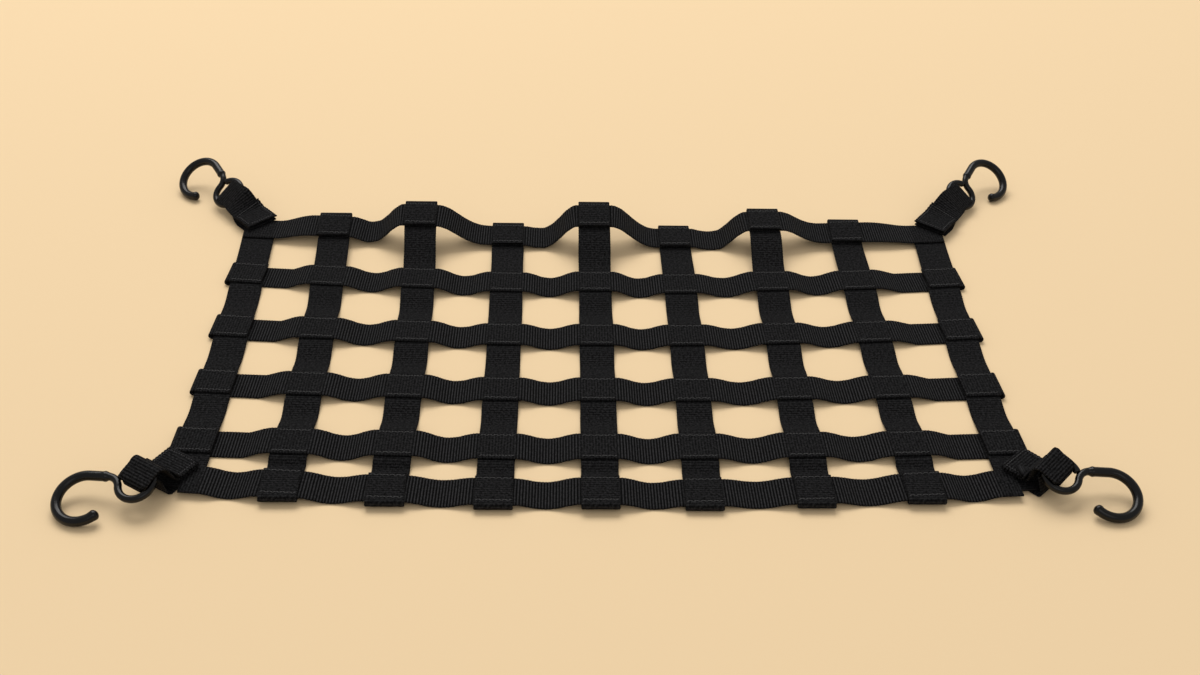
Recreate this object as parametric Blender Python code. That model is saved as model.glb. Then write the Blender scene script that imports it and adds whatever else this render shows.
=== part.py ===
"""Cargo net of 25 mm webbing, lying on a surface, with a coated steel hook at each corner.

Nine short straps run front to back and six long straps run left to right. The outer ones are
the borders. Inner long straps lie on the short straps. Each strap end passes under its border,
turns round the border's outer edge and comes back on top. At each corner a webbing tab holds
the closed eye of a hook between its two legs, and a square patch is sewn over the upper leg.

Lengths are in millimetres until a mesh is made. +X is right, +Y is away from the front edge.
"""

import math

import bpy
import numpy as np
from mathutils import Matrix

MM = 0.001

# Webbing
WEB_WIDTH = 25.0
WEB_THICK = 1.4
LAYER_GAP = 0.3
LAYER = WEB_THICK + LAYER_GAP
FLAT_HALF = 14.0  # half length of the flat, sewn stretch at a crossing
# How far the borders' cut ends stay inside the net's outer edge
SIDE_TRIM_FRONT = 7.0
SIDE_TRIM_BACK = 2.0
FRONT_TRIM = 13.0
BACK_TRIM = 2.0
EDGE_EASE = 0.8  # how far a turned strap end stands off the border's slanting edge
TURN_STEPS = 8
SPAN_STEPS = 6

# Short straps, front to back: x of the centre line at the front, in the middle and at the back
SHORT_STRAPS = (
    (-271.0, -266.0, -267.0),
    (-207.0, -203.5, -206.5),
    (-139.0, -134.5, -137.5),
    (-70.0, -68.0, -68.5),
    (-1.5, -0.5, 0.0),
    (65.0, 65.5, 65.0),
    (137.0, 136.0, 136.0),
    (209.0, 205.0, 203.5),
    (273.0, 269.5, 272.0),
)
SHORT_AT_Y = (-138.0, 10.0, 158.0)

# Long straps, back to front: y of the centre line at the left, in the middle and at the right
LONG_STRAPS = (
    (166.0, 157.5, 167.0),
    (104.5, 92.5, 105.0),
    (37.0, 27.0, 38.5),
    (-27.5, -36.0, -27.0),
    (-89.5, -96.0, -88.5),
    (-128.0, -139.0, -129.0),
)
LONG_AT_X = (-268.0, 0.0, 270.0)

# Height of the lowest layer's underside at each crossing: a row per long strap, back to front,
# and a column per short strap, left to right
CROSSING_LIFT = (
    (0.0, 7.0, 20.0, 2.5, 22.0, 1.5, 17.0, 5.0, 0.0),
    (0.0, 3.5, 4.5, 3.0, 4.5, 2.5, 4.0, 3.0, 0.0),
    (0.0, 3.5, 3.5, 2.5, 3.0, 2.5, 3.0, 2.5, 0.0),
    (0.0, 3.0, 3.5, 2.5, 3.0, 2.5, 3.0, 2.5, 0.0),
    (0.0, 3.5, 4.0, 2.5, 3.0, 3.0, 3.5, 3.0, 0.0),
    (0.0, 2.0, 1.6, 1.2, 2.6, 1.0, 1.6, 2.0, 0.0),
)
# Rise of the back border's crossings towards the back, in mm per mm
BACK_SLOPE = (0.0, 0.12, 0.16, 0.06, 0.18, 0.04, 0.06, 0.10, 0.0)
# Height of the back border's lowest edge halfway between neighbouring crossings
BACK_SPAN_LIFT = (6.0, 4.0, 9.0, 4.0, 10.0, 1.0, 9.0, 5.0)

# Corner tabs, patches and hooks
PATCH_LENGTH = 24.0
PATCH_WIDTH = 26.5
TAB_UNDER_LENGTH = 4.0  # from the patch's middle to the cut end of the lower leg
TAB_TIGHT_WIDTH = 14.4  # where the webbing turns inside the eye
TAB_TURN_RADIUS = 4.1
TAB_TURN_SHIFT = 1.0
TAB_TOP_FLAT = 4.0  # the upper leg lies flat this far outside the patch's middle
TAB_EASE_AT = 8.0  # this far inside the eye's centre the webbing is nearly its full width
TAB_EASED_WIDTH = 23.0
TAB_LOW_WIDTH = 17.0  # under the eye, where the surface leaves less room
WIRE_RADIUS = 2.5
COAT_RADIUS = 3.4
EYE_RADIUS = 11.5
EYE_SWEEP = 331.0
NECK_RADIUS = 9.0
NECK_SWEEP = 75.0
RUN_LENGTH = 12.5
BAY_RADIUS = 16.5
BAY_SWEEP = 226.0
TIP_LENGTH = 2.0
TUBE_SIDES = 10
TUBE_STEP = 3.4

# side is -1 on the left. A tab's lower leg lies flat as far as low_flat outside the patch's
# middle. Headings are turned from +X towards +Y, in degrees.
CORNER_COLUMNS = (
    "name", "side", "patch", "low_flat", "eye", "neck_heading", "lean", "lean_heading",
)
CORNERS = (
    ("front_left", -1, (-278.0, -119.0), 14.0, (-294.0, -144.5), -176.0, 19.0, -118.0),
    ("front_right", 1, (281.0, -117.0), 17.0, (297.0, -134.0), -13.0, 20.0, -76.0),
    ("back_left", -1, (-273.0, 179.0), 7.0, (-298.0, 206.5), 135.0, 33.0, -130.0),
    ("back_right", 1, (281.0, 181.0), 7.0, (309.0, 216.5), 45.0, 34.0, -54.0),
)
GROUND_EASE = 0.05
PATCH_STATIONS = 4  # stations of the twisted tab that the patch also covers
PATCH_RISE = LAYER + 1.0  # a patch stands off the twisted tab a little more than flat layers do

WEBBING = ("webbing", (0.012, 0.012, 0.013), 0.85, 0.0)
COATING = ("black_coating", (0.010, 0.010, 0.011), 0.35, 0.0)


def clear_scene():
    for obj in list(bpy.data.objects):
        bpy.data.objects.remove(obj)


def make_material(name, colour, roughness, metallic):
    material = bpy.data.materials.new(name)
    material.use_nodes = True
    shader = material.node_tree.nodes["Principled BSDF"]
    shader.inputs["Base Color"].default_value = (*colour, 1.0)
    shader.inputs["Roughness"].default_value = roughness
    shader.inputs["Metallic"].default_value = metallic
    return material


def unit(vector):
    vector = np.asarray(vector, float)
    return vector / np.linalg.norm(vector, axis=-1, keepdims=True)


def through_three(at, values, where):
    """The parabola through three (at, values) points, read at where."""
    return np.polyval(np.polyfit(at, values, 2), where)


def short_x(strap, y):
    return through_three(SHORT_AT_Y, SHORT_STRAPS[strap], y)


def long_y(strap, x):
    return through_three(LONG_AT_X, LONG_STRAPS[strap], x)


LAST_SHORT = len(SHORT_STRAPS) - 1
LAST_LONG = len(LONG_STRAPS) - 1


def crossing(row, column):
    """Centre x and y, base height and slope towards the back, where two straps cross."""
    x = SHORT_STRAPS[column][1]
    for _ in range(3):
        y = long_y(row, x)
        x = short_x(column, y)
    slope = BACK_SLOPE[column] if row == 0 else 0.0
    return x, y, CROSSING_LIFT[row][column], slope


def middle_height(layer, lift, slope):
    """Height of a layer's middle surface over the crossing's centre."""
    return lift + (layer * LAYER + WEB_THICK / 2) * math.sqrt(1 + slope * slope)


def short_layer(column):
    """Layer of a short strap at a crossing: borders lie over the ends turned round them."""
    return 1 if column in (0, LAST_SHORT) else 0


def long_layer(row, column):
    side = column in (0, LAST_SHORT)
    end_row = row in (0, LAST_LONG)
    if side and end_row:
        return 2
    return 0 if side else 1


def blend(a, b, u):
    return a + (b - a) * u * u * (3 - 2 * u)


def span_heights(start, end, middle, u):
    """Smooth from start to end height, drawn down or up to the middle height halfway."""
    bump = 16 * u**2 * (1 - u) ** 2
    return blend(start, end, u) + (middle - (start + end) / 2) * bump


def rising_heights(start, end, end_slope, length, u):
    """Cubic from start, where it is level, to end, where it has end_slope."""
    return blend(start, end, u) + end_slope * length * (u**3 - u**2)


def lowest_middle(slope):
    """Height of the middle surface of a strap whose lower edge touches the ground."""
    return WEB_THICK / 2 + slope * WEB_WIDTH / 2


def short_span_middle(column, length):
    """Height of a short strap halfway between two crossings: it reaches the ground where it can.

    In the short front row a side border stays up, over the lower leg of the corner's tab.
    """
    if length > WEB_WIDTH:
        return WEB_THICK / 2
    return WEB_THICK / 2 + (LAYER if column in (0, LAST_SHORT) else 0.5)


def along_long(row):
    """Stations of a long strap's centre line between the side borders: x, height, slope."""
    stations = []
    for column in range(LAST_SHORT + 1):
        x, y, lift, slope = crossing(row, column)
        height = middle_height(long_layer(row, column), lift, slope)
        for edge in (x - FLAT_HALF, x + FLAT_HALF):
            stations.append((edge, height + slope * (long_y(row, edge) - y), slope))
        if column == LAST_SHORT:
            break
        ahead = crossing(row, column + 1)
        start = stations[-1]
        far_edge = ahead[0] - FLAT_HALF
        far_height = middle_height(long_layer(row, column + 1), ahead[2], ahead[3])
        far_height += ahead[3] * (long_y(row, far_edge) - ahead[1])
        middle = lowest_middle((slope + ahead[3]) / 2)
        if row == 0:
            middle += BACK_SPAN_LIFT[column]
        for step in range(1, SPAN_STEPS):
            u = step / SPAN_STEPS
            tilt = blend(slope, ahead[3], u)
            here = span_heights(start[1], far_height, middle, u)
            along = start[0] + (far_edge - start[0]) * u
            stations.append((along, max(here, lowest_middle(tilt)), tilt))
    return stations


def along_short(column):
    """Stations of a short strap's centre line between the end borders: y and height."""
    stations = []
    for row in range(LAST_LONG, -1, -1):
        _, y, lift, slope = crossing(row, column)
        height = middle_height(short_layer(column), lift, slope)
        edges = (y - FLAT_HALF, y + FLAT_HALF)
        if stations:
            start_y, start_height = stations[-1]
            length = edges[0] - start_y
            end_height = height - slope * FLAT_HALF
            for step in range(1, SPAN_STEPS):
                u = step / SPAN_STEPS
                if row == 0:
                    here = rising_heights(start_height, end_height, slope, length, u)
                else:
                    middle = short_span_middle(column, length)
                    here = span_heights(start_height, end_height, middle, u)
                stations.append((start_y + length * u, here))
        for edge in edges:
            stations.append((edge, height + slope * (edge - y)))
    return stations


def turned_end(edge_point, outward, normal, width_inside):
    """A strap end from under a border's edge, round it, and back on top by width_inside."""
    angle = np.linspace(0, math.pi, TURN_STEPS + 1)[:, None]
    centre = edge_point + outward * EDGE_EASE
    turn = centre + LAYER * (np.sin(angle) * outward - np.cos(angle) * normal)
    end = turn[-1] - outward * (width_inside + EDGE_EASE)
    return np.vstack([turn, end])


def short_path(column):
    """Points of a short strap and the directions across it."""
    stations = along_short(column)
    y = np.array([s[0] for s in stations])
    points = np.column_stack([short_x(column, y), y, [s[1] for s in stations]])
    if column in (0, LAST_SHORT):
        half = WEB_WIDTH / 2
        front, back = (crossing(row, column)[1] for row in (LAST_LONG, 0))
        points[0, 1] = front - half + SIDE_TRIM_FRONT
        points[-1, 1] = back + half - SIDE_TRIM_BACK
        return points
    front_end = border_turn(LAST_LONG, column, -1)
    back_end = border_turn(0, column, 1)
    return np.vstack([front_end[::-1], points[1:-1], back_end])


def border_turn(row, column, side):
    """The end of a short strap turned round the front (side -1) or back (side 1) border."""
    x, y, lift, slope = crossing(row, column)
    height = middle_height(1, lift, slope)
    outward = unit((0.0, side, slope * side))
    normal = unit((0.0, -slope, 1.0))
    edge = np.array([x, y, height]) + outward * WEB_WIDTH / 2
    return turned_end(edge, outward, normal, WEB_WIDTH)


def side_turn(row, column, side):
    """The end of a long strap turned round the left (side -1) or right (side 1) border."""
    x, y, lift, _ = crossing(row, column)
    outward = np.array([side, 0.0, 0.0])
    normal = np.array([0.0, 0.0, 1.0])
    edge = np.array([x, y, middle_height(1, lift, 0.0)]) + outward * WEB_WIDTH / 2
    turn = turned_end(edge, outward, normal, WEB_WIDTH)
    turn[:, 1] = long_y(row, turn[:, 0])
    return turn


def long_path(row):
    """Points of a long strap, and its slope towards the back at each of them."""
    stations = along_long(row)
    x = np.array([s[0] for s in stations])
    points = np.column_stack([x, long_y(row, x), [s[1] for s in stations]])
    slopes = np.array([s[2] for s in stations])
    if row in (0, LAST_LONG):
        half = WEB_WIDTH / 2 - (BACK_TRIM if row == 0 else FRONT_TRIM)
        points[0, 0] = crossing(row, 0)[0] - half
        points[-1, 0] = crossing(row, LAST_SHORT)[0] + half
        points[:, 1] = long_y(row, points[:, 0])
        return points, slopes
    left = side_turn(row, 0, -1)
    right = side_turn(row, LAST_SHORT, 1)
    points = np.vstack([left[::-1], points[1:-1], right])
    slopes = np.concatenate([np.zeros(len(left)), slopes[1:-1], np.zeros(len(right))])
    return points, slopes


def tangents(points):
    steps = unit(np.diff(points, axis=0))
    middle = unit(steps[:-1] + steps[1:])
    return np.vstack([steps[:1], middle, steps[-1:]])


def ribbon_mesh(name, points, across, widths):
    """A closed strip: a flat section, widths wide and WEB_THICK thick, carried along points.

    Both broad faces are split along the same diagonals, so that twisted layers keep their gap.
    """
    points = np.asarray(points, float)
    along = tangents(points)
    across = unit(across - along * np.sum(across * along, axis=1, keepdims=True))
    normal = np.cross(along, across)
    half = across * np.broadcast_to(widths, len(points))[:, None] / 2
    up = normal * WEB_THICK / 2
    corners = np.stack([
        points - half - up, points + half - up, points + half + up, points - half + up,
    ], axis=1)
    faces = [(0, 3, 2, 1)]
    last = (len(points) - 1) * 4
    for a in range(0, last, 4):
        faces += [(a, a + 1, a + 5), (a, a + 5, a + 4)]
        faces += [(a + 1, a + 2, a + 6, a + 5)]
        faces += [(a + 2, a + 3, a + 6), (a + 3, a + 7, a + 6)]
        faces += [(a + 3, a, a + 4, a + 7)]
    faces.append((last, last + 1, last + 2, last + 3))
    return make_mesh(name, corners.reshape(-1, 3), faces)


def make_mesh(name, points, faces):
    mesh = bpy.data.meshes.new(name)
    mesh.from_pydata((points * MM).tolist(), [], faces)
    mesh.update()
    return mesh


def add_object(name, mesh, material, smooth=False):
    mesh.materials.append(material)
    if smooth:
        mesh.shade_smooth()
    obj = bpy.data.objects.new(name, mesh)
    bpy.context.scene.collection.objects.link(obj)
    return obj


def add_short_strap(column, webbing):
    points = short_path(column)
    across = np.tile([-1.0, 0.0, 0.0], (len(points), 1))
    name = f"short_strap_{column + 1}"
    return add_object(name, ribbon_mesh(name, points, across, WEB_WIDTH), webbing)


def add_long_strap(row, webbing):
    points, slopes = long_path(row)
    bend = np.polyder(np.polyfit(LONG_AT_X, LONG_STRAPS[row], 2))
    drift = np.polyval(bend, points[:, 0])
    across = np.column_stack([-drift, np.ones(len(points)), slopes])
    name = f"long_strap_{row + 1}"
    return add_object(name, ribbon_mesh(name, points, across, WEB_WIDTH), webbing)


def arc_points(start, heading, length, curvature, steps):
    """Points along an arc of the hook's wire in its own plane, and the heading at its end."""
    s = np.linspace(0, length, steps + 1)[1:]
    if curvature == 0:
        run = np.column_stack([s * math.cos(heading), s * math.sin(heading)])
        return start + run, heading
    turn = heading + curvature * s
    x = (np.sin(turn) - math.sin(heading)) / curvature
    y = (math.cos(heading) - np.cos(turn)) / curvature
    return start + np.column_stack([x, y]), heading + curvature * length


def hook_outline():
    """Centre line of the hook's wire in its plane, tip first, with the wire's radii.

    The eye's centre is the origin and the neck lies on +X, so that the bay is beyond it.
    """
    pieces = (
        (TIP_LENGTH, 0.0, COAT_RADIUS),
        (BAY_RADIUS * math.radians(BAY_SWEEP), -1 / BAY_RADIUS, COAT_RADIUS),
        (RUN_LENGTH, 0.0, COAT_RADIUS),
        (NECK_RADIUS * math.radians(NECK_SWEEP), -1 / NECK_RADIUS, WIRE_RADIUS),
        (EYE_RADIUS * math.radians(EYE_SWEEP), 1 / EYE_RADIUS, WIRE_RADIUS),
    )
    points = np.zeros((1, 2))
    radii = [COAT_RADIUS]
    heading = 0.0
    for length, curvature, radius in pieces:
        if curvature > 0:
            side = np.array([-math.sin(heading), math.cos(heading)])
            centre = points[-1] + side * EYE_RADIUS
        steps = max(1, round(length / TUBE_STEP))
        more, heading = arc_points(points[-1], heading, length, curvature, steps)
        points = np.vstack([points, more])
        radii += [radius] * steps
    points = points - centre
    neck = -side
    turn = np.array([[neck[0], neck[1]], [-neck[1], neck[0]]])
    return points @ turn.T, np.array(radii)


def hook_frame(neck_heading, lean, lean_heading):
    """Axes of the hook's plane: towards the neck, across, and its normal."""
    tilt, facing = math.radians(lean), math.radians(lean_heading)
    normal = np.array([
        math.sin(tilt) * math.cos(facing), math.sin(tilt) * math.sin(facing), math.cos(tilt),
    ])
    heading = math.radians(neck_heading)
    level = np.array([math.cos(heading), math.sin(heading), 0.0])
    level[2] = -(level @ normal) / normal[2]
    forward = unit(level)
    return forward, np.cross(normal, forward), normal


def rounded_ends(points, radii):
    """Adds a ring at each end so that the wire's ends are rounded off."""
    first = unit(points[0] - points[1])
    last = unit(points[-1] - points[-2])
    lift, inset = 0.45, 0.75
    start = points[0] + first * radii[0] * lift
    end = points[-1] + last * radii[-1] * lift
    points = np.vstack([start, points, end])
    radii = np.concatenate([[radii[0] * inset], radii, [radii[-1] * inset]])
    return points, radii


def tube_mesh(name, points, radii, normal):
    """A closed tube round a plane curve whose plane has this normal."""
    along = tangents(points)
    side = np.cross(normal, along)
    angle = np.linspace(0, 2 * math.pi, TUBE_SIDES, endpoint=False)
    ring = (np.cos(angle)[None, :, None] * side[:, None, :]
            + np.sin(angle)[None, :, None] * normal[None, None, :])
    shell = points[:, None, :] + ring * radii[:, None, None]
    faces = [tuple(reversed(range(TUBE_SIDES)))]
    for station in range(len(points) - 1):
        base = station * TUBE_SIDES
        for k in range(TUBE_SIDES):
            a, b = base + k, base + (k + 1) % TUBE_SIDES
            faces.append((a, b, b + TUBE_SIDES, a + TUBE_SIDES))
    top = (len(points) - 1) * TUBE_SIDES
    faces.append(tuple(top + k for k in range(TUBE_SIDES)))
    return make_mesh(name, shell.reshape(-1, 3), faces), shell


def add_hook(corner, coating):
    """The hook, let down until it touches the surface. Gives its eye's centre and axes."""
    outline, radii = hook_outline()
    forward, across, normal = hook_frame(
        corner["neck_heading"], corner["lean"], corner["lean_heading"])
    flat = outline[:, :1] * forward - corner["side"] * outline[:, 1:] * across
    points, radii = rounded_ends(flat, radii)
    eye = np.array([*corner["eye"], 0.0])
    name = f"hook_{corner['name']}"
    mesh, shell = tube_mesh(name, points, radii, normal)
    eye[2] = -shell[..., 2].min()
    mesh.transform(Matrix.Translation(eye * MM))
    add_object(name, mesh, coating, smooth=True)
    return eye, normal


def ring_axes(corner, eye, normal):
    """Level directions out of and across the net's corner, and in and across the eye's plane."""
    outward = unit(np.array([eye[0] - corner["patch"][0], eye[1] - corner["patch"][1], 0.0]))
    level = np.array([-outward[1], outward[0], 0.0])
    inward = unit(normal * (outward @ normal) - outward)
    return outward, level, inward, np.cross(normal, -inward)


def leg_point(start, leaving, end, arriving, u):
    """A point of the smooth curve that leaves start and arrives at end in these directions."""
    reach = np.linalg.norm(end - start)
    bend = (u**3 - 2 * u**2 + u) * leaving + (u**3 - u**2) * arriving
    return blend(start, end, u) + reach * bend


def tab_path(corner, eye, normal):
    """Points, across directions and widths of a corner tab, from its lower to its upper end,
    and which of its points lie under the patch."""
    outward, level, inward, across = ring_axes(corner, eye, normal)
    patch = np.array([*corner["patch"], WEB_THICK / 2])
    upper = patch + np.array([0, 0, 3 * LAYER])
    clear = EYE_RADIUS + WIRE_RADIUS / 2
    rise = normal * TAB_TURN_RADIUS
    low_start, low_eye = patch + outward * corner["low_flat"], eye + inward * TAB_EASE_AT - rise
    top_start, top_ring = upper + outward * TAB_TOP_FLAT, eye + inward * clear + rise
    angles = np.linspace(0, math.pi, TURN_STEPS + 1)
    centre = eye + inward * TAB_TURN_SHIFT

    rows = [(patch - outward * TAB_UNDER_LENGTH, level, WEB_WIDTH)]
    for u in (0.0, 0.15, 0.3, 0.45, 0.6, 0.8, 1.0):
        point = leg_point(low_start, outward, low_eye, -inward, u)
        width = WEB_WIDTH + (TAB_LOW_WIDTH - WEB_WIDTH) * u
        rows.append((point, blend(level, across, u), width))
    for angle in angles:
        point = centre - TAB_TURN_RADIUS * (math.cos(angle) * normal + math.sin(angle) * inward)
        wide = TAB_LOW_WIDTH if angle < math.pi / 2 else TAB_EASED_WIDTH
        width = blend(TAB_TIGHT_WIDTH, wide, math.cos(angle) ** 2)
        rows.append((point, across, width))
    rows.append((eye + inward * TAB_EASE_AT + rise, across, TAB_EASED_WIDTH))
    rows.append((top_ring, across, WEB_WIDTH - 1))
    for u in (0.15, 0.3, 0.45, 0.6, 0.75, 0.9, 1.0):
        point = leg_point(top_ring, -outward, top_start, -outward, u)
        rows.append((point, blend(across, level, u), WEB_WIDTH))
    patch_start = len(rows) - PATCH_STATIONS
    rows.append((upper - outward * PATCH_LENGTH / 2, level, WEB_WIDTH))
    points, directions, widths = (np.array(column) for column in zip(*rows))
    return points, directions, widths, patch_start


def raised_off_ground(points, across, widths):
    """The points, raised where a tilted strip's lower edge would reach below the ground."""
    lowest = points[:, 2] - np.abs(across[:, 2]) * widths / 2 - WEB_THICK / 2 - GROUND_EASE
    return points + np.outer(np.maximum(0, -lowest), (0, 0, 1))


def add_corner(corner, webbing, coating):
    eye, normal = add_hook(corner, coating)
    points, across, widths, patch_start = tab_path(corner, eye, normal)
    points = raised_off_ground(points, across, widths)
    name = f"corner_tab_{corner['name']}"
    add_object(name, ribbon_mesh(name, points, across, widths), webbing)
    up = unit(np.cross(tangents(points), across))[patch_start:]
    up *= np.sign(up[:, 2:])
    name = f"corner_patch_{corner['name']}"
    over = points[patch_start:] + up * PATCH_RISE
    add_object(name, ribbon_mesh(name, over, across[patch_start:], PATCH_WIDTH), webbing)


def set_on_origin(objects):
    """Moves the meshes so that their common box stands on the origin, centred in X and Y."""
    boxes = []
    for obj in objects:
        places = np.empty(len(obj.data.vertices) * 3)
        obj.data.vertices.foreach_get("co", places)
        boxes.append(places.reshape(-1, 3))
    places = np.vstack(boxes)
    low, high = places.min(axis=0), places.max(axis=0)
    offset = -np.array([(low[0] + high[0]) / 2, (low[1] + high[1]) / 2, low[2]])
    for obj in objects:
        obj.data.transform(Matrix.Translation(offset))


def main():
    clear_scene()
    webbing = make_material(*WEBBING)
    coating = make_material(*COATING)
    for column in range(len(SHORT_STRAPS)):
        add_short_strap(column, webbing)
    for row in range(len(LONG_STRAPS)):
        add_long_strap(row, webbing)
    for values in CORNERS:
        add_corner(dict(zip(CORNER_COLUMNS, values)), webbing, coating)
    set_on_origin(list(bpy.data.objects))


main()
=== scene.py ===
"""Looks of a cargo net of ribbed webbing, with a coated wire hook held at each corner.

Every strap, tab and patch is one strip of webbing: a section with rounded selvedges carried along
the strip's own curve, with the weave's ribs raised on it. Lengths are in millimetres until a mesh
is made. +X is right, +Y is away from the front edge.
"""
import math

import bpy
import numpy as np
from mathutils import Matrix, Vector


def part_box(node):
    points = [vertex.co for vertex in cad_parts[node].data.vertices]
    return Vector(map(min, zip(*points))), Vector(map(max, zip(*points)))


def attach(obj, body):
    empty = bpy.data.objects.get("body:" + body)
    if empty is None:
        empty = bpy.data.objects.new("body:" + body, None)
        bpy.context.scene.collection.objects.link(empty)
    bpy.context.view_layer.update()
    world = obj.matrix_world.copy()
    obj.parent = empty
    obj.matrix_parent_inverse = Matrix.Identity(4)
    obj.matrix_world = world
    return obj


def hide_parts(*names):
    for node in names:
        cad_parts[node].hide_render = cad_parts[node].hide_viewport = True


MM = 0.001

# Webbing
WEB_WIDTH = 25.0
WEB_THICK = 1.4
LAYER = 1.7  # from one layer of webbing to the next
FLAT_HALF = 14.0  # half length of the flat, sewn stretch at a crossing
# How far the borders' cut ends stay inside the net's outer edge
SIDE_TRIM_FRONT = 7.0
SIDE_TRIM_BACK = 2.0
FRONT_TRIM = 13.0
BACK_TRIM = 2.0
EDGE_EASE = 0.8  # how far a turned strap end stands off the border's slanting edge
NARROW_GAP_LIFT = 0.5  # where crossings are too close for a strap to come down between them
TURN_STEPS = 8
SPAN_STEPS = 6

# Short straps, left to right: x of the centre line at the front, in the middle and at the back
SHORT_STRAPS = (
    (-271.0, -266.0, -267.0),
    (-207.0, -203.5, -206.5),
    (-139.0, -134.5, -137.5),
    (-70.0, -68.0, -68.5),
    (-1.5, -0.5, 0.0),
    (65.0, 65.5, 65.0),
    (137.0, 136.0, 136.0),
    (209.0, 205.0, 203.5),
    (273.0, 269.5, 272.0),
)
SHORT_AT_Y = (-138.0, 10.0, 158.0)

# Long straps, back to front: y of the centre line at the left, in the middle and at the right
LONG_STRAPS = (
    (166.0, 157.5, 167.0),
    (104.5, 92.5, 105.0),
    (37.0, 27.0, 38.5),
    (-27.5, -36.0, -27.0),
    (-89.5, -96.0, -88.5),
    (-128.0, -139.0, -129.0),
)
LONG_AT_X = (-268.0, 0.0, 270.0)

# Height of the lowest layer's underside at each crossing: a row per long strap, back to front,
# and a column per short strap, left to right
CROSSING_LIFT = (
    (0.0, 7.0, 20.0, 2.5, 22.0, 1.5, 17.0, 5.0, 0.0),
    (0.0, 3.5, 4.5, 3.0, 4.5, 2.5, 4.0, 3.0, 0.0),
    (0.0, 3.5, 3.5, 2.5, 3.0, 2.5, 3.0, 2.5, 0.0),
    (0.0, 3.0, 3.5, 2.5, 3.0, 2.5, 3.0, 2.5, 0.0),
    (0.0, 3.5, 4.0, 2.5, 3.0, 3.0, 3.5, 3.0, 0.0),
    (0.0, 2.0, 1.6, 1.2, 2.6, 1.0, 1.6, 2.0, 0.0),
)
# Rise of the back border's crossings towards the back, in mm per mm
BACK_SLOPE = (0.0, 0.12, 0.16, 0.06, 0.18, 0.04, 0.06, 0.10, 0.0)
# Height of the back border's lowest edge halfway between neighbouring crossings
BACK_SPAN_LIFT = (6.0, 4.0, 9.0, 4.0, 10.0, 1.0, 9.0, 5.0)
LAST_SHORT = len(SHORT_STRAPS) - 1
LAST_LONG = len(LONG_STRAPS) - 1

# Corner tabs, patches and hooks
PATCH_LENGTH = 24.0
PATCH_WIDTH = 26.5
TAB_UNDER_LENGTH = 4.0  # from the patch's middle to the cut end of the lower leg
TAB_TIGHT_WIDTH = 14.4  # where the webbing turns inside the eye
TAB_TURN_RADIUS = 4.1
TAB_TURN_SHIFT = 1.0
TAB_TOP_FLAT = 4.0  # the upper leg lies flat this far outside the patch's middle
TAB_EASE_AT = 8.0  # this far inside the eye's centre the webbing is nearly its full width
TAB_EASED_WIDTH = 23.0
TAB_RING_WIDTH = 24.0  # where the upper leg has passed the eye's wire
TAB_LOW_WIDTH = 17.0  # under the eye, where the surface leaves less room
LOW_LEG_STEPS = (0.0, 0.15, 0.3, 0.45, 0.6, 0.8, 1.0)
TOP_LEG_STEPS = (0.15, 0.3, 0.45, 0.6, 0.75, 0.9, 1.0)
GROUND_EASE = 0.05
PATCH_STATIONS = 4  # stations of the twisted tab that the patch also covers
PATCH_RISE = LAYER + 1.0  # a patch stands off the twisted tab a little more than flat layers do
WIRE_RADIUS = 2.5
COAT_RADIUS = 3.4
EYE_RADIUS = 11.5
EYE_SWEEP = 331.0
NECK_RADIUS = 9.0
NECK_SWEEP = 75.0
RUN_LENGTH = 12.5
BAY_RADIUS = 16.5
BAY_SWEEP = 226.0
TIP_LENGTH = 2.0
WIRE_STEP = 0.8
# Stations added beyond the tip, farthest first, and beyond the eye's end
TIP_STATIONS = (1.3, 1.15, 0.8, 0.4)
EYE_STATIONS = (0.3, 0.6, 0.8)

# The coating: a lip just before the sleeve's end and a bulb at the tip, each a bell of this
# height, middle and width, and the lengths over which the two ends of the hook are rounded
SLEEVE_FADE = 0.55
SLEEVE_INSET = 0.15  # the sleeve stays this much below COAT_RADIUS, which the bulb reaches
LIP = (0.35, -1.6, 1.1)
BULB = (0.30, 2.6, 1.9)
TIP_ROUNDING = 2.6
EYE_ROUNDING = 1.6
LEAST_RADIUS = 0.05

# side is -1 on the left. A tab's lower leg lies flat as far as low_flat outside the patch's
# middle. Headings are turned from +X towards +Y, in degrees.
CORNER_COLUMNS = (
    "name", "side", "patch", "low_flat", "eye", "neck_heading", "lean", "lean_heading",
)
CORNERS = (
    ("front_left", -1, (-278.0, -119.0), 14.0, (-294.0, -144.5), -176.0, 19.0, -118.0),
    ("front_right", 1, (281.0, -117.0), 17.0, (297.0, -134.0), -13.0, 20.0, -76.0),
    ("back_left", -1, (-273.0, 179.0), 7.0, (-298.0, 206.5), 135.0, 33.0, -130.0),
    ("back_right", 1, (281.0, 181.0), 7.0, (309.0, 216.5), 45.0, 34.0, -54.0),
)

# Finish of the weave
STATION = 0.5  # along a strip
RIB_PITCH = 2.0
RIB_HEIGHT = 0.20
WARP_PITCH = 0.8
WEFT_SKEW_PITCH = 1.6
SCALLOP_PITCH = 2.6
SCALLOP = 0.06
PATCH_SCALLOP = 0.22
# Slow waves of the selvedges: height, length of a radian, and radians for each unit of seed
WANDER = ((0.10, 17.0, 1.0), (0.06, 6.1, 2.3))
# Share of RIB_HEIGHT: where a strip is sewn, and elsewhere on each kind of strip
SEWN_RIBS = 0.25
LONG_RIBS = 1.0
SHORT_RIBS = 0.45
TAB_RIBS = 0.4
PATCH_RIBS = 0.35
RIBS_FROM = 11.5  # the ribs begin to rise this far from a crossing's middle
RIBS_WITHIN = 3.5  # and stand fully this much farther on
SHORT_SEED = 10  # first of the short straps' seeds

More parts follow.
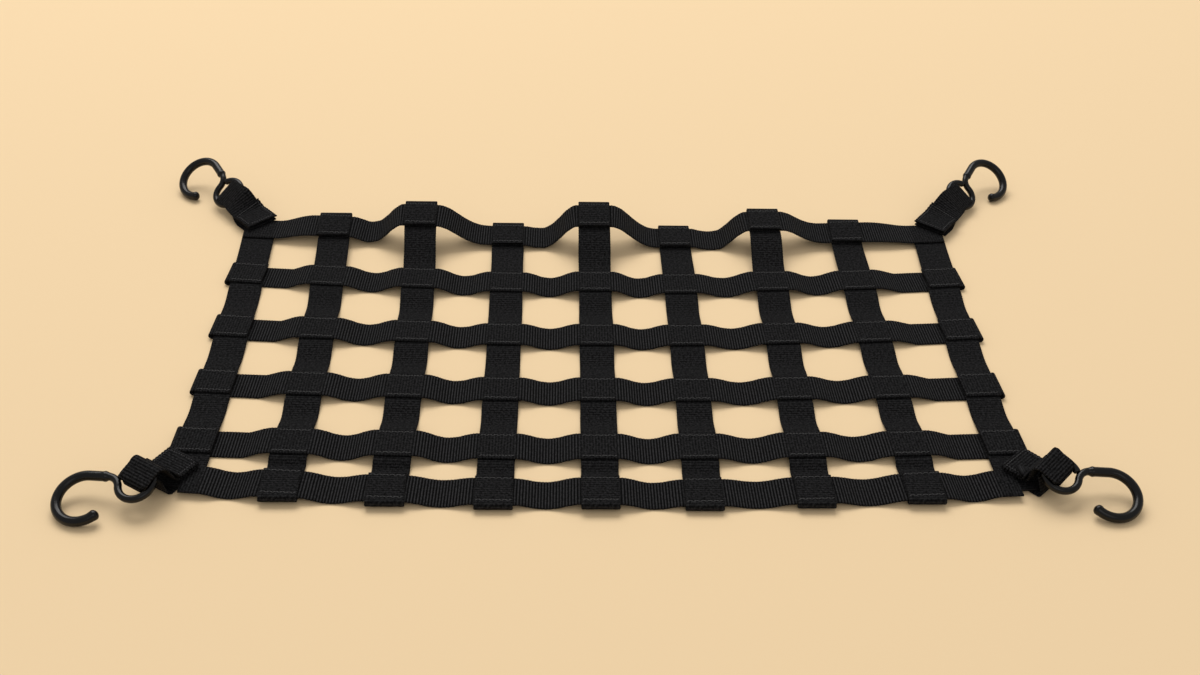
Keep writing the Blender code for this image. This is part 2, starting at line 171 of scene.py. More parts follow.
# Stitches
THREAD_RADIUS = 0.28
THREAD_RISE = 1.1  # in thread radii, over the middle of a stitch
THREAD_SINK = 0.3  # in thread radii, at its ends
STITCH_PITCH = 2.1
STITCH_SHARE = 0.7  # of the pitch that one stitch of a patch covers
SEAM_INSET = 2.2  # from a patch's edge to its seam
SIDE_SEAM_ENDS = (2.0, 3.0)  # left bare at the start and the end of a seam along the patch
CROSS_SEAM_ENDS = (1.5, 2.0)  # and of a seam across it
ZIGZAG_STITCHES = 11
ZIGZAG_HALF = 0.55
ZIGZAG_INSET = 2.3

# Materials. A noise is its scale and detail; a bump is its strength and its distance in metres;
# tones are the positions and colours of a ramp's two ends.
WEBBING_ROUGHNESS = 0.72
WEBBING_SPECULAR = 0.04
WARP_SHARE = 0.5
FIBRES = (1600.0, 2.0)
FIBRE_HEIGHT = 1.6
# Coarser noise of painted glints: light flecks that stand in for the fibres catching the light
GLINT_NOISE = (620.0, 1.0)
# Share of the light flecks in the webbing's colour: partly uneven dye, partly painted glints
FLECK_AND_GLINT_SHARE = 0.45
# Painted highlight: how much lighter each rib's crown is coloured, as if lit
CROWN_HIGHLIGHT_SHARE = 0.22
WEAVE_BUMP = (0.9, 0.00022)
# The ramp's dark end is the webbing's own colour; its light end is painted highlight on the crowns
# and glints
WEBBING_TONES_AND_HIGHLIGHT = ((0.36, (0.0012, 0.0012, 0.0014, 1)), (0.68, (0.036, 0.036, 0.038, 1)))
COATING_COLOUR = (0.0012, 0.0012, 0.0015, 1)
COATING_SPECULAR = 0.27
COATING_NOISE = (260.0, 3.0)
COATING_ROUGHNESS = (0.17, 0.29)
COATING_BUMP = (0.25, 0.0003)
THREAD_ROUGHNESS = 0.45
THREAD_NOISE = (900.0, 2.0)
THREAD_TONES = ((0.0, (0.012, 0.012, 0.013, 1)), (1.0, (0.060, 0.060, 0.062, 1)))
FLOOR_ROUGHNESS = 0.9
FLOOR_SPECULAR = 0.1
FLOOR_COLOUR = (0.86, 0.66, 0.41, 1)

# Camera: millimetres and degrees
CAMERA_TARGET = np.array([2.3, 30.6, 0.0])
CAMERA_DISTANCE = 1086.4
CAMERA_ELEVATION = 37.25
CAMERA_YAW = 2.49
CAMERA_ROLL = 1.88
CAMERA_LENS = 44.3
CAMERA_SENSOR = 36.0

# Floor and light, in metres: each area light's name, place, size and energy
FLOOR_HALF = 12.0
FLOOR_HEIGHT = -0.0002
SKY_COLOUR = (1.0, 0.97, 0.93, 1)
SKY_STRENGTH = 0.50
LIGHT_COLOUR = (1.0, 0.98, 0.96)
AREA_LIGHTS = (
    ("key", (-0.6, 2.6, 3.6), (3.8, 2.6), 142.0),
    ("fill", (0.5, -3.0, 3.2), (2.5, 1.6), 12.0),
)

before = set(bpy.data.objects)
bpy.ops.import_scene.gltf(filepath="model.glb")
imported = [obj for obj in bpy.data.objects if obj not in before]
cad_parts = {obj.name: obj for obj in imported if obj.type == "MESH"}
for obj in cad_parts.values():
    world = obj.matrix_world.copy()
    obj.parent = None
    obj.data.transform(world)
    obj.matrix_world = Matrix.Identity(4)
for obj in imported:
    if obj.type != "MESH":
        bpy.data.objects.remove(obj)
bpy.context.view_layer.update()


# ---------------------------------------------------------------- curves of the straps

def unit(vector):
    vector = np.asarray(vector, float)
    return vector / np.linalg.norm(vector, axis=-1, keepdims=True)


def blend(a, b, u):
    """Smooth step from a at u = 0 to b at u = 1: a + (b - a)(3u^2 - 2u^3)."""
    return a + (b - a) * u * u * (3 - 2 * u)


def through_three(at, values, where):
    """The parabola through three (at, values) points, read at where."""
    return np.polyval(np.polyfit(at, values, 2), where)


def short_x(strap, y):
    return through_three(SHORT_AT_Y, SHORT_STRAPS[strap], y)


def long_y(strap, x):
    return through_three(LONG_AT_X, LONG_STRAPS[strap], x)


def crossing(row, column):
    """Centre x and y, base height and slope towards the back, where two straps cross."""
    x = SHORT_STRAPS[column][1]
    for _ in range(3):
        y = long_y(row, x)
        x = short_x(column, y)
    slope = BACK_SLOPE[column] if row == 0 else 0.0
    return x, y, CROSSING_LIFT[row][column], slope


def middle_height(layer, lift, slope):
    return lift + (layer * LAYER + WEB_THICK / 2) * math.sqrt(1 + slope * slope)


def short_layer(column):
    return 1 if column in (0, LAST_SHORT) else 0


def long_layer(row, column):
    side = column in (0, LAST_SHORT)
    if side and row in (0, LAST_LONG):
        return 2
    return 0 if side else 1


def span_heights(start, end, middle, u):
    """Smooth from start to end height, drawn to the middle height halfway."""
    bump = 16 * u**2 * (1 - u) ** 2
    return blend(start, end, u) + (middle - (start + end) / 2) * bump


def rising_heights(start, end, end_slope, length, u):
    """Cubic from start, where it is level, to end, where it has end_slope."""
    return blend(start, end, u) + end_slope * length * (u**3 - u**2)


def lowest_middle(slope):
    return WEB_THICK / 2 + slope * WEB_WIDTH / 2


def short_span_middle(column, length):
    if length > WEB_WIDTH:
        return WEB_THICK / 2
    return WEB_THICK / 2 + (LAYER if column in (0, LAST_SHORT) else NARROW_GAP_LIFT)


def along_long(row):
    """Stations of a long strap between the side borders: x, height and slope."""
    stations = []
    for column in range(LAST_SHORT + 1):
        x, y, lift, slope = crossing(row, column)
        height = middle_height(long_layer(row, column), lift, slope)
        for edge in (x - FLAT_HALF, x + FLAT_HALF):
            stations.append((edge, height + slope * (long_y(row, edge) - y), slope))
        if column == LAST_SHORT:
            break
        ahead = crossing(row, column + 1)
        start = stations[-1]
        far_edge = ahead[0] - FLAT_HALF
        far_height = middle_height(long_layer(row, column + 1), ahead[2], ahead[3])
        far_height += ahead[3] * (long_y(row, far_edge) - ahead[1])
        middle = lowest_middle((slope + ahead[3]) / 2)
        if row == 0:
            middle += BACK_SPAN_LIFT[column]
        for step in range(1, SPAN_STEPS):
            u = step / SPAN_STEPS
            tilt = blend(slope, ahead[3], u)
            here = span_heights(start[1], far_height, middle, u)
            along = start[0] + (far_edge - start[0]) * u
            stations.append((along, max(here, lowest_middle(tilt)), tilt))
    return stations


def along_short(column):
    """Stations of a short strap between the end borders: y and height."""
    stations = []
    for row in range(LAST_LONG, -1, -1):
        _, y, lift, slope = crossing(row, column)
        height = middle_height(short_layer(column), lift, slope)
        edges = (y - FLAT_HALF, y + FLAT_HALF)
        if stations:
            start_y, start_height = stations[-1]
            length = edges[0] - start_y
            end_height = height - slope * FLAT_HALF
            for step in range(1, SPAN_STEPS):
                u = step / SPAN_STEPS
                if row == 0:
                    here = rising_heights(start_height, end_height, slope, length, u)
                else:
                    middle = short_span_middle(column, length)
                    here = span_heights(start_height, end_height, middle, u)
                stations.append((start_y + length * u, here))
        for edge in edges:
            stations.append((edge, height + slope * (edge - y)))
    return stations


def turned_end(edge_point, outward, normal):
    """A strap end from under a border's edge, half a circle round it, and back across its top."""
    angle = np.linspace(0, math.pi, TURN_STEPS + 1)[:, None]
    centre = edge_point + outward * EDGE_EASE
    turn = centre + LAYER * (np.sin(angle) * outward - np.cos(angle) * normal)
    end = turn[-1] - outward * (WEB_WIDTH + EDGE_EASE)
    return np.vstack([turn, end])


def border_turn(row, column, side):
    x, y, lift, slope = crossing(row, column)
    outward = unit((0.0, side, slope * side))
    normal = unit((0.0, -slope, 1.0))
    edge = np.array([x, y, middle_height(1, lift, slope)]) + outward * WEB_WIDTH / 2
    return turned_end(edge, outward, normal)


def side_turn(row, column, side):
    x, y, lift, _ = crossing(row, column)
    outward = np.array([side, 0.0, 0.0])
    edge = np.array([x, y, middle_height(1, lift, 0.0)]) + outward * WEB_WIDTH / 2
    turn = turned_end(edge, outward, np.array([0.0, 0.0, 1.0]))
    turn[:, 1] = long_y(row, turn[:, 0])
    return turn


def short_path(column):
    """Points of a short strap and the directions across it."""
    stations = along_short(column)
    y = np.array([s[0] for s in stations])
    points = np.column_stack([short_x(column, y), y, [s[1] for s in stations]])
    if column in (0, LAST_SHORT):
        front, back = (crossing(row, column)[1] for row in (LAST_LONG, 0))
        points[0, 1] = front - WEB_WIDTH / 2 + SIDE_TRIM_FRONT
        points[-1, 1] = back + WEB_WIDTH / 2 - SIDE_TRIM_BACK
    else:
        front, back = border_turn(LAST_LONG, column, -1), border_turn(0, column, 1)
        points = np.vstack([front[::-1], points[1:-1], back])
    return points, np.tile([-1.0, 0.0, 0.0], (len(points), 1))


def long_path(row):
    """Points of a long strap and the directions across it."""
    stations = along_long(row)
    x = np.array([s[0] for s in stations])
    points = np.column_stack([x, long_y(row, x), [s[1] for s in stations]])
    slopes = np.array([s[2] for s in stations])
    if row in (0, LAST_LONG):
        half = WEB_WIDTH / 2 - (BACK_TRIM if row == 0 else FRONT_TRIM)
        points[0, 0] = crossing(row, 0)[0] - half
        points[-1, 0] = crossing(row, LAST_SHORT)[0] + half
        points[:, 1] = long_y(row, points[:, 0])
    else:
        left, right = side_turn(row, 0, -1), side_turn(row, LAST_SHORT, 1)
        points = np.vstack([left[::-1], points[1:-1], right])
        level = np.zeros(len(left))
        slopes = np.concatenate([level, slopes[1:-1], level])
    bend = np.polyder(np.polyfit(LONG_AT_X, LONG_STRAPS[row], 2))
    drift = np.polyval(bend, points[:, 0])
    return points, np.column_stack([-drift, np.ones(len(points)), slopes])


# ---------------------------------------------------------------- strips of webbing

def monotone_cubic(at, values, where):
    """Cubic through values that doesn't overshoot: each knot's slope is the weighted harmonic
    mean of its neighbours' slopes, or zero where they differ in sign."""
    steps = np.diff(at)[:, None]
    slopes = np.diff(values, axis=0) / steps
    before, after = slopes[:-1], slopes[1:]
    same = before * after > 0
    near, far = 2 * steps[1:] + steps[:-1], steps[1:] + 2 * steps[:-1]
    safe_before, safe_after = np.where(same, before, 1.0), np.where(same, after, 1.0)
    mean = (near + far) / (near / safe_before + far / safe_after)
    knots = np.vstack([slopes[:1], np.where(same, mean, 0.0), slopes[-1:]])
    i = np.clip(np.searchsorted(at, where, side="right") - 1, 0, len(at) - 2)
    u = ((where - at[i]) / steps[i, 0])[:, None]
    smooth = values[i] + (values[i + 1] - values[i]) * u * u * (3 - 2 * u)
    bend = (u**3 - 2 * u**2 + u) * knots[i] + (u**3 - u**2) * knots[i + 1]
    return smooth + bend * steps[i]


def along_arc(points):
    return np.concatenate([[0.0], np.cumsum(np.linalg.norm(np.diff(points, axis=0), axis=1))])


def finer(points, across, widths, station=STATION):
    """The strip's points, across directions and widths at close, even stations."""
    at = along_arc(points)
    where = np.linspace(0, at[-1], max(8, round(at[-1] / station)) + 1)
    columns = np.column_stack([points, unit(across), np.broadcast_to(widths, len(points))])
    fine = monotone_cubic(at, columns, where)
    return fine[:, :3], fine[:, 3:6], fine[:, 6]


def section(columns=9):
    """Half-round selvedges joined by flat faces, as three rows: share of the flat half width,
    share of the edge radius beyond it, and height in half thicknesses; counted round the strip."""
    flat = np.linspace(-1, 1, columns)
    edge = np.radians([60.0, 20.0, -20.0, -60.0])
    reach = np.concatenate([flat, np.ones(4), flat[::-1], -np.ones(4)])
    beyond = np.concatenate([np.zeros(columns), np.cos(edge), np.zeros(columns), -np.cos(edge)])
    height = np.concatenate([np.ones(columns), np.sin(edge), -np.ones(columns), -np.sin(edge)])
    return reach, beyond, height


def strip_frames(points, across):
    along = unit(np.gradient(points, axis=0))
    across = unit(across - along * np.sum(across * along, axis=1, keepdims=True))
    return along, across, np.cross(along, across)


def add_strip(name, points, across, widths, ribs, replaced, seed=0.0,
              scallop=SCALLOP):
    """A strip of webbing. The section is carried along the curve, and swells outwards by half of
    RIB_HEIGHT times ribs times the cosine of one turn in each RIB_PITCH of length, so that ribs
    run across it. The selvedges wander slowly, and wave by scallop times the cosine of one turn
    in each SCALLOP_PITCH."""
    points, across, widths = finer(points, across, widths)
    length = along_arc(points)
    along, across, normal = strip_frames(points, across)
    ribs = np.broadcast_to(ribs(length) if callable(ribs) else ribs, len(length))
    wander = sum(size * np.sin(length / radian + shift * seed) for size, radian, shift in WANDER)
    wander = wander + scallop * np.cos(2 * np.pi * length / SCALLOP_PITCH)
    reach, beyond, height = section()
    radius = WEB_THICK / 2
    wave = np.cos(2 * np.pi * length / RIB_PITCH)
    swell = (RIB_HEIGHT / 2 * ribs * wave)[:, None]
    half = (widths / 2 + wander)[:, None]
    side = reach * (half - radius) + beyond * (radius + swell)
    lift = height * (radius + swell * np.abs(height))
    shell = points[:, None] + side[..., None] * across[:, None] + lift[..., None] * normal[:, None]
    around = len(reach)
    distance = np.concatenate([[0.0], np.cumsum(np.hypot(np.diff(side[0]), np.diff(lift[0])))])
    obj = add_shell(name, shell, MATERIALS["webbing"])
    lay_uv(obj, np.repeat(length, around), np.tile(distance, len(length)), distance[-1])
    # The rib share also sets how much painted highlight the material puts on the ribs' crowns
    strength = obj.data.attributes.new("rib", "FLOAT", "POINT")
    strength.data.foreach_set("value", np.repeat(ribs, around).astype(np.float32))
    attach(obj, "root")
    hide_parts(replaced)
    return points, across, normal


def new_object(name, points, faces, material):
    """A smooth object from points in millimetres, placed as the straps' tables are."""
    mesh = bpy.data.meshes.new(name)
    mesh.from_pydata(((points.reshape(-1, 3) + OFFSET) * MM).tolist(), [], faces)
    mesh.update()
    mesh.shade_smooth()
    mesh.materials.append(material)
    obj = bpy.data.objects.new(name, mesh)
    bpy.context.scene.collection.objects.link(obj)
    return obj


def add_shell(name, shell, material):
    """A closed surface from rings of points: quads between rings and a face on each end."""
    rings, around = shell.shape[:2]
    ring = np.arange(around)
    start = (np.arange(rings - 1) * around)[:, None]
    a, b = start + ring, start + (ring + 1) % around
    quads = np.stack([a, b, b + around, a + around], axis=-1).reshape(-1, 4)
    last = (rings - 1) * around
    faces = quads.tolist() + [ring[::-1].tolist(), (last + ring).tolist()]
    return new_object(name, shell, faces, material)


def lay_uv(obj, length, distance, girth):
    """UV in metres: u along the strip, v round its section, with the seam split per face corner.

    The section's first point also closes it, a millimetre past its last.
    """
    mesh = obj.data
    layer = mesh.uv_layers.new(name="weave")
    index = np.empty(len(mesh.loops), np.int32)
    mesh.loops.foreach_get("vertex_index", index)
    u, v = length[index], distance[index]
    quads = (len(mesh.polygons) - 2) * 4
    corner = v[:quads].reshape(-1, 4)
    closing = corner.max(axis=1) - corner.min(axis=1) > girth / 2
    corner[closing] = np.where(corner[closing] < 1.0, girth + 1.0, corner[closing])
    v[:quads] = corner.reshape(-1)
    layer.data.foreach_set("uv", (np.column_stack([u, v]) * MM).astype(np.float32).reshape(-1))


# ---------------------------------------------------------------- hooks and corner tabs

def arc_points(start, heading, length, curvature, step):
    """Points along an arc of the hook's wire in its own plane, and the heading at its end."""
    s = np.linspace(0, length, max(2, round(length / step)) + 1)[1:]
    if curvature == 0:
        run = np.column_stack([s * math.cos(heading), s * math.sin(heading)])
        return start + run, heading
    turn = heading + curvature * s
    x = (np.sin(turn) - math.sin(heading)) / curvature
    y = (math.cos(heading) - np.cos(turn)) / curvature
    return start + np.column_stack([x, y]), heading + curvature * length


def hook_outline():
    """Centre line of the wire in its plane, tip first, and the length of its coated part.

    The eye's centre is the origin and the neck lies on +X, so that the bay is beyond it.
    """
    pieces = (
        (TIP_LENGTH, 0.0),
        (BAY_RADIUS * math.radians(BAY_SWEEP), -1 / BAY_RADIUS),
        (RUN_LENGTH, 0.0),
        (NECK_RADIUS * math.radians(NECK_SWEEP), -1 / NECK_RADIUS),
        (EYE_RADIUS * math.radians(EYE_SWEEP), 1 / EYE_RADIUS),
    )
    points = np.zeros((1, 2))
    heading = 0.0
    for length, curvature in pieces:
        if curvature > 0:
            side = np.array([-math.sin(heading), math.cos(heading)])
            centre = points[-1] + side * EYE_RADIUS
        more, heading = arc_points(points[-1], heading, length, curvature, WIRE_STEP)
        points = np.vstack([points, more])
    neck = -side
    turn = np.array([[neck[0], neck[1]], [-neck[1], neck[0]]])
    coated = sum(length for length, _ in pieces[:3])
    return (points - centre) @ turn.T, coated


def hook_frame(corner):
    """Axes of the hook's plane: towards the neck, across, and its normal."""
    tilt, facing = math.radians(corner["lean"]), math.radians(corner["lean_heading"])
    normal = np.array([
        math.sin(tilt) * math.cos(facing), math.sin(tilt) * math.sin(facing), math.cos(tilt),
    ])
    heading = math.radians(corner["neck_heading"])
    level = np.array([math.cos(heading), math.sin(heading), 0.0])
    level[2] = -(level @ normal) / normal[2]
    forward = unit(level)
    return forward, np.cross(normal, forward), normal


def bell(s, height, middle, width):
    return height * np.exp(-(((s - middle) / width) ** 2))


def rounded(u):
    """Share of the radius at u of the way along a half ellipse, from its end."""
    return np.sqrt(np.clip(1 - (1 - np.clip(u, 0, 1)) ** 2, 0.0, 1))


def hook_radius(s, total, coated):
    """Radius of the hook at length s from its tip: a coated sleeve with a rounded lip where it
    ends at the neck, thinner wire beyond, and both ends rounded to a half ellipse."""
    sleeve = 1 / (1 + np.exp((s - coated) / SLEEVE_FADE))
    radius = WIRE_RADIUS + (COAT_RADIUS - SLEEVE_INSET - WIRE_RADIUS) * sleeve
    radius = radius + bell(s - coated, *LIP) * sleeve + bell(s, *BULB)
    ends = rounded(s / TIP_ROUNDING) * rounded((total - s) / EYE_ROUNDING)
    return np.maximum(radius * ends, LEAST_RADIUS)


def add_hook(corner, around=24):
    """The hook, let down until it touches the surface: a tube round its centre line, whose
    radius follows hook_radius. Gives its eye's centre and its plane's normal."""
    outline, coated = hook_outline()
    forward, across, normal = hook_frame(corner)
    points = outline[:, :1] * forward - corner["side"] * outline[:, 1:] * across
    lead = unit(points[0] - points[1])
    start = np.array([points[0] + lead * k for k in TIP_STATIONS])
    tail = unit(points[-1] - points[-2])
    end = np.array([points[-1] + tail * k for k in EYE_STATIONS])
    points = np.vstack([start, points, end])
    length = along_arc(points)
    along = unit(np.gradient(points, axis=0))
    side = np.cross(normal, along)
    angle = np.linspace(0, 2 * math.pi, around, endpoint=False)[None, :, None]
    ring = np.cos(angle) * side[:, None] + np.sin(angle) * normal
    radius = hook_radius(length, length[-1], coated + TIP_STATIONS[0])
    shell = points[:, None] + ring * radius[:, None, None]
    eye = np.array([*corner["eye"], -shell[..., 2].min()])
    name = f"coated_hook_{corner['name']}"
    obj = add_shell(name, shell + eye, MATERIALS["coating"])
    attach(obj, "root")
    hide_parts(f"hook_{corner['name']}")
    return eye, normal


def leg_point(start, leaving, end, arriving, u):
    """A point of the smooth curve that leaves start and arrives at end in these directions."""
    reach = np.linalg.norm(end - start)
    bend = (u**3 - 2 * u**2 + u) * leaving + (u**3 - u**2) * arriving
    return blend(start, end, u) + reach * bend


def tab_path(corner, eye, normal):
    """Points, across directions and widths of a corner tab, from its lower to its upper end,
    and the first of its points that lie under the patch."""
    outward = unit(np.array([eye[0] - corner["patch"][0], eye[1] - corner["patch"][1], 0.0]))
    level = np.array([-outward[1], outward[0], 0.0])
    inward = unit(normal * (outward @ normal) - outward)
    across = np.cross(normal, -inward)
    patch = np.array([*corner["patch"], WEB_THICK / 2])
    upper = patch + np.array([0, 0, 3 * LAYER])
    clear = EYE_RADIUS + WIRE_RADIUS / 2
    rise = normal * TAB_TURN_RADIUS
    low_start, low_eye = patch + outward * corner["low_flat"], eye + inward * TAB_EASE_AT - rise
    top_start, top_ring = upper + outward * TAB_TOP_FLAT, eye + inward * clear + rise
    centre = eye + inward * TAB_TURN_SHIFT

    rows = [(patch - outward * TAB_UNDER_LENGTH, level, WEB_WIDTH)]
    for u in LOW_LEG_STEPS:
        point = leg_point(low_start, outward, low_eye, -inward, u)
        width = WEB_WIDTH + (TAB_LOW_WIDTH - WEB_WIDTH) * u
        rows.append((point, blend(level, across, u), width))
    for angle in np.linspace(0, math.pi, TURN_STEPS + 1):
        point = centre - TAB_TURN_RADIUS * (math.cos(angle) * normal + math.sin(angle) * inward)
        wide = TAB_LOW_WIDTH if angle < math.pi / 2 else TAB_EASED_WIDTH
        width = blend(TAB_TIGHT_WIDTH, wide, math.cos(angle) ** 2)
        rows.append((point, across, width))
    rows.append((eye + inward * TAB_EASE_AT + rise, across, TAB_EASED_WIDTH))
    rows.append((top_ring, across, TAB_RING_WIDTH))
    for u in TOP_LEG_STEPS:
        point = leg_point(top_ring, -outward, top_start, -outward, u)
        rows.append((point, blend(across, level, u), WEB_WIDTH))
    patch_start = len(rows) - PATCH_STATIONS
    rows.append((upper - outward * PATCH_LENGTH / 2, level, WEB_WIDTH))
    points, directions, widths = (np.array(column) for column in zip(*rows))
    lowest = points[:, 2] - np.abs(directions[:, 2]) * widths / 2 - WEB_THICK / 2 - GROUND_EASE
    points[:, 2] += np.maximum(0, -lowest)
    return points, directions, widths, patch_start


def add_corner(corner):
    eye, normal = add_hook(corner)
    points, across, widths, patch_start = tab_path(corner, eye, normal)
    name = corner["name"]
    add_strip(f"webbing_tab_{name}", points, across, widths, TAB_RIBS, f"corner_tab_{name}")
    along = unit(np.gradient(points, axis=0))
    up = unit(np.cross(along, across))[patch_start:]
    up *= np.sign(up[:, 2:])
    patch = add_strip(f"webbing_patch_{name}", points[patch_start:] + up * PATCH_RISE,
                      across[patch_start:], PATCH_WIDTH, PATCH_RIBS, f"corner_patch_{name}",
                      scallop=PATCH_SCALLOP)
    add_patch_stitches(name, *patch)


# ---------------------------------------------------------------- stitches

def add_stitches(name, starts, ends, normals, around=6, rings=5):
    """Threads from starts to ends, each a thin tube that rises in a half sine over the cloth and
    is thinner towards its ends."""
    u = np.linspace(0, 1, rings)
    rise = np.sin(np.pi * u) * THREAD_RADIUS * THREAD_RISE - THREAD_RADIUS * THREAD_SINK
    radius = THREAD_RADIUS * (0.35 + 0.65 * np.sin(np.pi * (0.08 + 0.84 * u)))
    along = unit(ends - starts)
    side = np.cross(normals, along)
    centre = starts[:, None] + (ends - starts)[:, None] * u[None, :, None]
    centre = centre + normals[:, None] * rise[None, :, None]
    angle = np.linspace(0, 2 * math.pi, around, endpoint=False)
    ring = (np.cos(angle)[:, None] * side[:, None, None]
            + np.sin(angle)[:, None] * normals[:, None, None])
    shell = centre[:, :, None] + ring * radius[None, :, None, None]
    count = len(starts)
    k = np.arange(around)
    base = (np.arange(count)[:, None] * rings + np.arange(rings - 1)).reshape(-1, 1) * around
    quads = np.stack([base + k, base + (k + 1) % around,
                      base + (k + 1) % around + around, base + k + around], axis=-1)
    first = np.arange(count)[:, None] * rings * around
    caps = np.vstack([first + k[::-1], first + (rings - 1) * around + k])
    faces = quads.reshape(-1, 4).tolist() + caps.tolist()
    obj = new_object(name, shell, faces, MATERIALS["thread"])
    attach(obj, "root")


def add_patch_stitches(name, points, across, normal):
    """A row of long stitches along both side edges of a patch, and one across near each end."""
    normal = normal * np.sign(normal[:, 2:])
    top = points + normal * WEB_THICK / 2
    at = along_arc(points)
    half = PATCH_WIDTH / 2 - SEAM_INSET
    starts, ends, normals = [], [], []
    steps = np.arange(SIDE_SEAM_ENDS[0], at[-1] - SIDE_SEAM_ENDS[1], STITCH_PITCH)
    reach = STITCH_PITCH * STITCH_SHARE
    for side in (-half, half):
        edge = top + across * side
        for found, shift in ((starts, 0.0), (ends, reach)):
            found.append(monotone_cubic(at, edge, steps + shift))
        normals.append(unit(monotone_cubic(at, normal, steps)))
    steps = np.arange(-half + CROSS_SEAM_ENDS[0], half - CROSS_SEAM_ENDS[1], STITCH_PITCH)
    for where in (SEAM_INSET, at[-1] - SEAM_INSET):
        middle, level, up = (monotone_cubic(at, row, np.array([where]))
                             for row in (top, across, normal))
        starts.append(middle + level * steps[:, None])
        ends.append(middle + level * (steps + reach)[:, None])
        normals.append(np.repeat(unit(up), len(steps), axis=0))
    add_stitches(f"patch_stitches_{name}", np.vstack(starts), np.vstack(ends), np.vstack(normals))


def crossing_stitches():
    """Zigzag rows across each short strap, just inside the front and back edges of the long one."""
    starts, ends, normals = [], [], []
    step = np.arange(ZIGZAG_STITCHES + 1)
    zigzag = np.where(step % 2 == 0, -ZIGZAG_HALF, ZIGZAG_HALF)
    for row in range(LAST_LONG + 1):
        for column in range(LAST_SHORT + 1):
            border = row in (0, LAST_LONG) or column in (0, LAST_SHORT)
            if row in (0, LAST_LONG) and column in (0, LAST_SHORT):
                continue
            x, y, lift, slope = crossing(row, column)
            normal = unit(np.array([0.0, -slope, 1.0]))
            top = middle_height(2 if border else 1, lift, slope) + WEB_THICK / 2
            for edge in (-1, 1):
                at_x = x + (step - ZIGZAG_STITCHES / 2) * STITCH_PITCH
                shift = edge * (WEB_WIDTH / 2 - ZIGZAG_INSET) + zigzag
                line = np.column_stack([at_x, long_y(row, at_x) + shift, np.full(len(step), top)])
                line[:, 2] += slope * (line[:, 1] - y)
                starts.append(line[:-1])
                ends.append(line[1:])
                normals.append(np.tile(normal, (ZIGZAG_STITCHES, 1)))
    add_stitches("crossing_stitches", np.vstack(starts), np.vstack(ends), np.vstack(normals))


# ---------------------------------------------------------------- materials

def node(tree, kind, **settings):
    made = tree.nodes.new(kind)
    for key, value in settings.items():
        setattr(made, key, value)
    return made


def arithmetic(tree, operation, first, second=None):
    """A Math node on sockets or numbers."""
    made = node(tree, "ShaderNodeMath", operation=operation)
    for socket, value in zip(made.inputs, (first, second)):
        if value is None:
            continue
        if isinstance(value, (int, float)):
            socket.default_value = value
        else:
            tree.links.new(value, socket)
    return made.outputs[0]


def new_material(name):
    material = bpy.data.materials.new(name)
    material.use_nodes = True
    return material, material.node_tree, material.node_tree.nodes["Principled BSDF"]


def noise(tree, place, scale, detail):
    made = node(tree, "ShaderNodeTexNoise")
    made.inputs["Scale"].default_value = scale
    made.inputs["Detail"].default_value = detail
    tree.links.new(place, made.inputs["Vector"])
    return made.outputs[0]


def add_bump(tree, shader, height, strength, distance):
    bump = node(tree, "ShaderNodeBump")
    bump.inputs["Strength"].default_value = strength
    bump.inputs["Distance"].default_value = distance
    tree.links.new(height, bump.inputs["Height"])
    tree.links.new(bump.outputs[0], shader.inputs["Normal"])


def add_tones(tree, shader, tone, stops):
    """Colour from a tone, by a ramp between two stops."""
    ramp = node(tree, "ShaderNodeValToRGB")
    for element, (position, colour) in zip(ramp.color_ramp.elements, stops):
        element.position = position
        element.color = colour
    tree.links.new(tone, ramp.inputs[0])
    tree.links.new(ramp.outputs[0], shader.inputs["Base Color"])


def webbing_material():
    """Near-black woven polyester: fine warp yarns along the strip, cut by the weft into short
    floats, with painted highlights on the ribs' crowns and light flecks that are partly uneven
    dye and partly painted glints of the fibres."""
    material, tree, shader = new_material("ribbed_webbing")
    shader.inputs["Roughness"].default_value = WEBBING_ROUGHNESS
    shader.inputs["Specular IOR Level"].default_value = WEBBING_SPECULAR

    def times(first, second):
        return arithmetic(tree, "MULTIPLY", first, second)

    def plus(first, second):
        return arithmetic(tree, "ADD", first, second)

    place = node(tree, "ShaderNodeUVMap", uv_map="weave").outputs["UV"]
    split = node(tree, "ShaderNodeSeparateXYZ")
    tree.links.new(place, split.inputs[0])
    u, v = split.outputs["X"], split.outputs["Y"]
    turns = 2 * math.pi / MM
    warp = arithmetic(tree, "SINE", times(v, turns / WARP_PITCH))
    skew = times(v, turns / WEFT_SKEW_PITCH)
    weft = arithmetic(tree, "SINE", plus(times(u, turns / RIB_PITCH * 2), skew))
    weave = plus(times(warp, WARP_SHARE), times(weft, 1 - WARP_SHARE))
    fibres = noise(tree, place, *FIBRES)
    add_bump(tree, shader, plus(weave, times(fibres, FIBRE_HEIGHT)), *WEAVE_BUMP)
    rib = node(tree, "ShaderNodeAttribute", attribute_name="rib")
    # Painted highlight: the colour lightens on each rib's crown, as much as the rib stands
    crown_highlight = arithmetic(tree, "COSINE", times(u, turns / RIB_PITCH))
    crown_highlight = times(times(crown_highlight, rib.outputs["Fac"]), CROWN_HIGHLIGHT_SHARE)
    # Painted glints: coarser light flecks, added to the fibres' uneven dye
    glints = noise(tree, place, *GLINT_NOISE)
    speckle_and_glints = plus(times(fibres, FLECK_AND_GLINT_SHARE), times(glints, FLECK_AND_GLINT_SHARE))
    add_tones(tree, shader, plus(speckle_and_glints, crown_highlight), WEBBING_TONES_AND_HIGHLIGHT)
    return material


